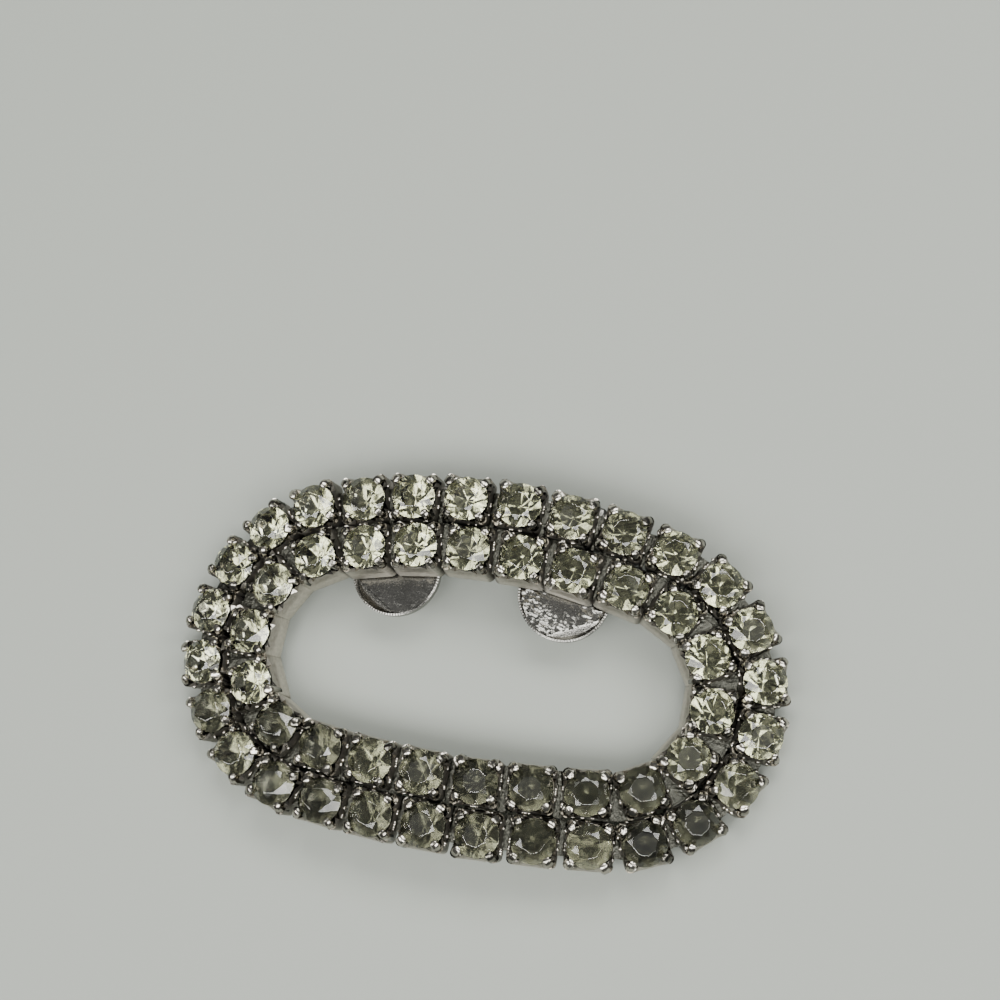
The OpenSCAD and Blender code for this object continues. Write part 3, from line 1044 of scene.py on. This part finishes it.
def run_height(y):
    """The height of the sheet's middle at a distance across the clip."""
    for (y1, z1), (y2, z2) in zip(LEVER_RUN, LEVER_RUN[1:]):
        if y <= y2:
            return z1 + (z2 - z1) * max(0, y - y1) / (y2 - y1)
    return LEVER_RUN[-1][1]


lever = bmesh.new()
run_start, run_end = LEVER_RUN[0][0], LEVER_RUN[-1][0]
span = run_end - run_start
flat_at = moved(0, run_start + span / 2, 0) @ sized(2 * TAB_HALF, span, 1)
bmesh.ops.create_grid(lever, x_segments=1, y_segments=1, size=0.5, matrix=flat_at)
for y in [y for y, _ in LEVER_RUN[1:-1]] + [BRIDGE_Y, TAB_Y]:
    cut_plane(lever, (0, y, 0), (0, 1, 0))
for x in (-NECK_HALF, -ARM_IN, ARM_IN, NECK_HALF):
    cut_plane(lever, (x, 0, 0), (1, 0, 0))
waste = []
for face in lever.faces:
    x, y, _ = face.calc_center_median()
    if (abs(x) < ARM_IN and y < BRIDGE_Y) or (abs(x) > NECK_HALF and y < TAB_Y):
        waste.append(face)
bmesh.ops.delete(lever, geom=waste, context="FACES")
for vert in lever.verts:
    vert.co.z = run_height(vert.co.y)
corners = [v for v in lever.verts if abs(v.co.x) > TAB_HALF - TINY and v.co.y > run_end - TINY]
bmesh.ops.bevel(lever, geom=corners, offset=TAB_CORNER, segments=5, profile=0.5,
                affect="VERTICES", material=-1)
round_off(lever, sharp_edges(lever, 0.1), BEND_ROUND, 4)
print("the flat lever has", len(lever.faces), "faces")

# %% [markdown]
# Solidify grows a sheet to one side only, so the way that it grew is measured and the
# sheet is moved back by half its thickness. Then the lugs are added.

# %% The lever's thickness and its lugs
LUG_X = 8.2
LUG_T = 0.6
LUG_R = 1.05
LUG_GAP = 0.05
SHEET_ROUND = 0.09

face_outwards(lever)
before = max(v.co.z for v in lever.verts)
bmesh.ops.solidify(lever, geom=lever.faces[:], thickness=LEVER_T)
grew_up = max(v.co.z for v in lever.verts) - before > LEVER_T / 2
half_back = -LEVER_T / 2 if grew_up else LEVER_T / 2
bmesh.ops.translate(lever, vec=(0, 0, half_back), verts=lever.verts[:])
face_outwards(lever)
round_off(lever, sharp_edges(lever), SHEET_ROUND, 2)
for x in (LUG_X, -LUG_X - LUG_T):
    ear(lever, x, LUG_T, LUG_R, PIN_R + LUG_GAP, LEVER_RUN[2][1] - PIN_Z)
face_outwards(lever)
bmesh.ops.translate(lever, vec=(GRIP_X, 0, 0), verts=lever.verts[:])
new_piece("lever_sheet", lever, [nickel_steel], "grip_lever", "grip_steel", "lever_body")

# %% [markdown]
# Each round pad bites the shoe. Its dished face is punched with fine points, its rim has
# small teeth, and a crescent near the edge is ground off at a slant. An outline is spun
# into a disc. Then a plane cuts the crease where the crescent starts, and each point is
# lowered by the slant or raised where the punch struck.

# %% The outline of a pad
PAD_R = 4.05
PAD_TOP = -0.2
PAD_T = 0.8
PAD_STEPS = 200
DISH_R = 3.8
DISH_DEPTH = 0.2
DISH_RINGS = 36

# from the edge of the back, over the rim, to the middle of the dish: distance out, height
pad_outline = [(PAD_R - 0.2, PAD_TOP - PAD_T), (PAD_R, PAD_TOP - PAD_T + 0.12)]
pad_outline += [(PAD_R, PAD_TOP - 0.05), (DISH_R + 0.08, PAD_TOP), (DISH_R + 0.03, PAD_TOP - 0.05)]
pad_outline += [(DISH_R * i / DISH_RINGS, PAD_TOP - DISH_DEPTH) for i in range(DISH_RINGS, 0, -1)]


def spin_outline(bm, points, centre, axis, steps):
    """Joins points to an outline and spins it once round an axis."""
    chain = [bm.verts.new(point) for point in points]
    edges = [bm.edges.new(pair) for pair in zip(chain, chain[1:])]
    bmesh.ops.spin(bm, geom=chain + edges, cent=centre, axis=axis, angle=2 * math.pi,
                   steps=steps, use_merge=True)


def spun_disc(bm):
    """Spins the outline of a pad round Z and closes the holes at both of its ends."""
    first = len(bm.verts)
    spin_outline(bm, [(r, 0, z) for r, z in pad_outline], (0, 0, 0), (0, 0, 1), PAD_STEPS)
    bm.verts.ensure_lookup_table()
    open_edges = [e for e in edges_at(bm.verts[first:]) if e.is_boundary]
    for radius in (pad_outline[-1][0], pad_outline[0][0]):
        ends = [e for e in open_edges if all(abs(v.co.xy.length - radius) < TINY for v in e.verts)]
        bmesh.ops.contextual_create(bm, geom=ends)
    return first


print("pad outline", len(pad_outline), "points")

# %% [markdown]
# The right pad shows a soft crease and strong punch marks, and the left one a clear
# crease and hardly a mark, so one function makes both from two lines of numbers.

# %% The two grip pads
PAD_AT = (7.65, 7.73)
TOOTH = 0.04
PUNCHES_PER_MM = 2.3
PUNCH_SLOPE = 1.6
# the marks reach full height at this radius
PUNCHED_FROM = 3
CRESCENT_AT = 2.85
CRESCENT_SLOPE = 0.5
# for each pad: its side, the way its crescent faces, how softly it starts, a mark's height
PADS = ((-1, 237, 0, 0.03), (1, 295, 0.08, 0.13))


def pad_shape(bm, place, crescent, ease, punched):
    """Makes a pad at the origin with its teeth, crescent and marks, and carries it to its place."""
    first = spun_disc(bm)
    way = Vector((math.cos(crescent), math.sin(crescent), 0))
    cut_plane(bm, way * CRESCENT_AT, way)
    bm.verts.ensure_lookup_table()
    points = bm.verts[first:]
    for vert in points:
        r = vert.co.xy.length
        beyond = vert.co.dot(way) - CRESCENT_AT
        if vert.co.z < PAD_TOP - PAD_T + 0.2:
            continue
        if r > DISH_R + 0.02:
            step = round(math.atan2(vert.co.y, vert.co.x) / (2 * math.pi) * PAD_STEPS)
            vert.co.z -= TOOTH * (step % 2)
        elif beyond > 0.001:
            vert.co.z -= CRESCENT_SLOPE * beyond ** 2 / (beyond + ease)
        elif r < DISH_R - 0.05:
            nearest = noise.voronoi(vert.co * PUNCHES_PER_MM + way)[0][0]
            mark = max(0, 1 - (PUNCH_SLOPE * nearest) ** 2)
            vert.co.z += punched * min(1, (r / PUNCHED_FROM) ** 2) * mark
    bmesh.ops.transform(bm, matrix=place, verts=points)


pads = bmesh.new()
for side, way, ease, punched in PADS:
    pad_at = on_ring((GRIP_X + side * PAD_AT[0], PAD_AT[1], 0))
    pad_shape(pads, pad_at, math.radians(way), ease, punched)
face_outwards(pads)
new_piece("grip_pads", pads, [nickel_steel], "grip_lever", "grip_steel", "lever_body", 20)

# %% [markdown]
# The pin is a piece of wire with a head pressed on each end. Its outline is spun about
# its own line, which gives round heads with soft edges in one go.

# %% The hinge pin
HEAD_R = 0.95
HEAD_T = 0.35
PIN_SIDES = 32
REACH = PLATE_L / 2 + 0.1

head_end = REACH + HEAD_T
half_outline = [(0, PIN_R), (REACH, PIN_R), (REACH, HEAD_R - 0.08), (REACH + 0.08, HEAD_R)]
half_outline += [(head_end - 0.16, HEAD_R), (head_end - 0.04, HEAD_R - 0.2)]
half_outline += [(head_end, HEAD_R - 0.5)]
outline = [(-x, r) for x, r in half_outline[:0:-1]] + half_outline
pin = bmesh.new()
points = [(x, PIN_Y, PIN_Z + r) for x, r in outline]
spin_outline(pin, points, (0, PIN_Y, PIN_Z), (1, 0, 0), PIN_SIDES)
for end in (-1, 1):
    rim = [e for e in pin.edges if e.is_boundary and e.verts[0].co.x * end > REACH]
    bmesh.ops.contextual_create(pin, geom=rim)
face_outwards(pin)
bmesh.ops.translate(pin, vec=(GRIP_X, 0, 0), verts=pin.verts[:])
new_piece("hinge_pin_wire", pin, [nickel_steel], "hinge_pin", "pin_steel", "clip_body")

# %% [markdown]
# The spring is a wire wound round the pin. The spin operator with a step along its axis
# winds it from one small circle. One leg bears on the plate and the other on the tab.
# When the lever turns, the coil twists evenly along its length, and blend does that.

# %% The grip spring
COIL_R = 0.825
COIL_W = 1.89
WIRE_R = 0.175
SPRING_TURNS = 4.5
TURN_STEPS = 20
# where each leg ends: distance across the clip, and height
PLATE_LEG = (15.58, -0.85)
TAB_LEG = (15.58, -3.35)

spring = bmesh.new()
steps = round(SPRING_TURNS * TURN_STEPS)
start_ring = moved(-COIL_W / 2, PIN_Y, PIN_Z + COIL_R) @ turned(math.pi / 2, "X")
bmesh.ops.create_circle(spring, segments=10, radius=WIRE_R, matrix=start_ring)
first_loop = spring.edges[:]
wound = bmesh.ops.spin(
    spring, geom=spring.verts[:] + spring.edges[:], cent=(0, PIN_Y, PIN_Z), axis=(1, 0, 0),
    dvec=(COIL_W / steps, 0, 0), angle=SPRING_TURNS * 2 * math.pi, steps=steps,
)["geom_last"]
legs = ((first_loop, PLATE_LEG, PIN_Z + COIL_R), (edges_in(wound), TAB_LEG, PIN_Z - COIL_R))
for loop, leg, from_z in legs:
    loop = draw_out(spring, loop, (0, leg[0] - PIN_Y, leg[1] - from_z), 1)
    loop = draw_out(spring, loop, (0, 0.04, 0), 0.7)
    bmesh.ops.contextual_create(spring, geom=loop)
face_outwards(spring)
bmesh.ops.translate(spring, vec=(GRIP_X, 0, 0), verts=spring.verts[:])
spring_piece = new_piece(
    "grip_spring_wire", spring, [spring_wire], "grip_spring", "spring_steel", None, 60,
)
coil_ends = [tuple(TO_ROW @ Vector((GRIP_X + x, PIN_Y, PIN_Z))) for x in (-COIL_W / 2, COIL_W / 2)]
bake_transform(spring_piece, "clip_body", "lever_body", start=coil_ends[0], end=coil_ends[1])

# %% [markdown]
# The clip lies on a plain pale floor with a matt finish. It is only a stage.

# %% The floor
FLOOR_HALF = 0.6

floor_paint, _ = new_material("matt_floor_paint")
surface = add_node(
    floor_paint, "ShaderNodeBsdfPrincipled", {"Base Color": linear("#949890"), "Roughness": 0.9},
)
add_node(floor_paint, "ShaderNodeOutputMaterial", (), {"Surface": surface.outputs[0]})
floor_bm = bmesh.new()
bmesh.ops.create_grid(floor_bm, x_segments=1, y_segments=1, size=FLOOR_HALF)
floor_mesh = as_mesh(floor_bm, "floor")
floor_mesh.materials.append(floor_paint)
floor = in_scene("floor", floor_mesh)

# %% [markdown]
# Metal and foil show what they mirror. The strong soft lamps stand all round at a slant,
# where facets and prongs catch them. None is overhead, for it would bleach the tables.

# %% Soft lamps round the clip
# for each lamp: its name, place, width and power
LAMPS = (
    ("front_right", (0.12, -0.20, 0.36), 0.17, 1.0),
    ("front_left", (-0.07, -0.20, 0.36), 0.16, 0.9),
    ("back", (0.02, 0.22, 0.34), 0.18, 0.9),
    ("back_right", (0.24, 0.18, 0.28), 0.15, 0.65),
    ("far_left", (-0.26, -0.14, 0.28), 0.15, 0.65),
    ("far_right", (0.32, -0.10, 0.28), 0.15, 0.65),
)


def lamp(name, at, size, power):
    """A square soft lamp that points at the clip. Lengths in metres, power in watts."""
    data = bpy.data.lights.new(name, "AREA")
    data.size = size
    data.energy = power
    light = in_scene(name, data)
    light.location = at
    light.rotation_euler = (-Vector(at)).to_track_quat("-Z", "Y").to_euler()


for one_lamp in LAMPS:
    lamp(*one_lamp)
print("lamps", len(bpy.data.lights))

# %% [markdown]
# A stone looks flat under one even sky. Rows of small panes overhead, each with its
# own size and glow, give it something to break up. The two rows above the camera are
# dim, and the room between the panes is grey.

# %% Panes overhead and the room
PANE_HEIGHT = 0.60
PANE_COLUMNS = (-0.38, -0.2, -0.02, 0.16, 0.34, 0.52)
# for each row: its place from front to back, and its glow
PANE_ROWS = ((-0.38, 3.2), (-0.21, 3.2), (-0.08, 0.5), (0.08, 0.5), (0.28, 3.2))
ROOM_GLOW = 0.55

panes = random.Random(7)
for y, glow in PANE_ROWS:
    for x in PANE_COLUMNS:
        at = (x + panes.uniform(-0.03, 0.03), y + panes.uniform(-0.02, 0.02), PANE_HEIGHT)
        size = panes.uniform(0.07, 0.13)
        lamp("pane", at, size, size ** 2 * math.pi * glow * panes.uniform(0.3, 1.7))
world = bpy.data.worlds.new("dim_room")
bpy.context.scene.world = world
world.use_nodes = True
background = world.node_tree.nodes["Background"]
background.inputs["Color"].default_value = linear("#9a9c9c")
background.inputs["Strength"].default_value = ROOM_GLOW
print("lamps and panes", len(bpy.data.lights))

# %% [markdown]
# The camera looks down steeply from the front right, where the photo was taken. Its
# place came from matching the fifty stones to the picture.

# %% Camera
CAMERA_AT = (0.034, -0.026984, 0.172176)
CAMERA_TURN = (15.662, 8.888, 10.807)

camera_data = bpy.data.cameras.new("photo_view")
camera_data.sensor_width = 36
camera_data.lens = 72
camera_data.clip_start = 0.01
camera = in_scene("photo_view", camera_data)
camera.location = CAMERA_AT
camera.rotation_euler = [math.radians(angle) for angle in CAMERA_TURN]
bpy.context.scene.camera = camera
print("camera", round(camera.location.length, 3), "m from the clip's middle")
